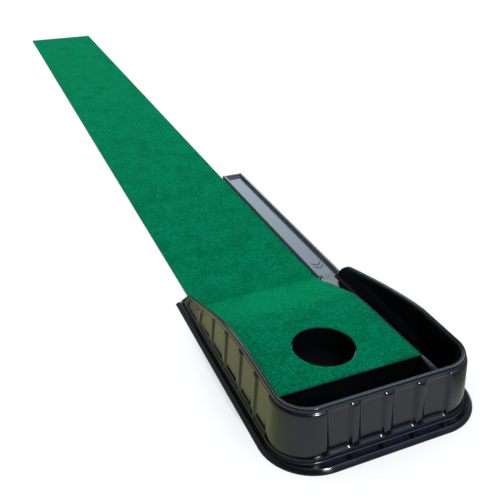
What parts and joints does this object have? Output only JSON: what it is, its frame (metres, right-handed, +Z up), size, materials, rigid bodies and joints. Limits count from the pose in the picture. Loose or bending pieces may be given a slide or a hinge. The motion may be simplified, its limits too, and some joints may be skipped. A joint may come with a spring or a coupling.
{
  "type": "practice putting mat",
  "caption": "Long turf putting mat climbing a ramp to a hole in a walled black base, with gutters and a side track that roll the ball back.",
  "frame": {"origin": "on the floor, under the middle of the whole object's box", "axes": "+Z up; +Y along the mat from the walled base towards the golfer; +X to the side of the ball-return gutter and track"},
  "size_m": [0.422, 3.224, 0.112],
  "materials": {
    "gloss_black": "vacuum-formed high-gloss black polystyrene sheet",
    "liner_black": "satin black moulded plastic",
    "turf_green": "short dense needle-punched green pile",
    "backing_black": "dull black non-slip backing",
    "tape_black": "black hook and loop tape",
    "track_grey": "vacuum-formed high-gloss charcoal sheet"
  },
  "bodies": {
    "base": {"base_tray": "gloss_black", "ramp_deck": "gloss_black", "cup_well": "liner_black", "return_chute": "liner_black", "rear_hook_strip": "tape_black", "ramp_hook_strip": "tape_black"},
    "mat": {"mat_turf": "turf_green", "mat_backing": "backing_black", "rear_loop_strip": "tape_black", "ramp_loop_strip": "tape_black"},
    "track": {"return_track": "track_grey"}
  },
  "joints": [
    {"name": "mat_lift", "type": "slide", "parent": "base", "child": "mat", "axis": [0, 0, 1], "range_m": [0, 0.2]},
    {"name": "track_pull", "type": "slide", "parent": "base", "child": "track", "axis": [0, 1, 0], "range_m": [0, 0.12]}
  ]
}
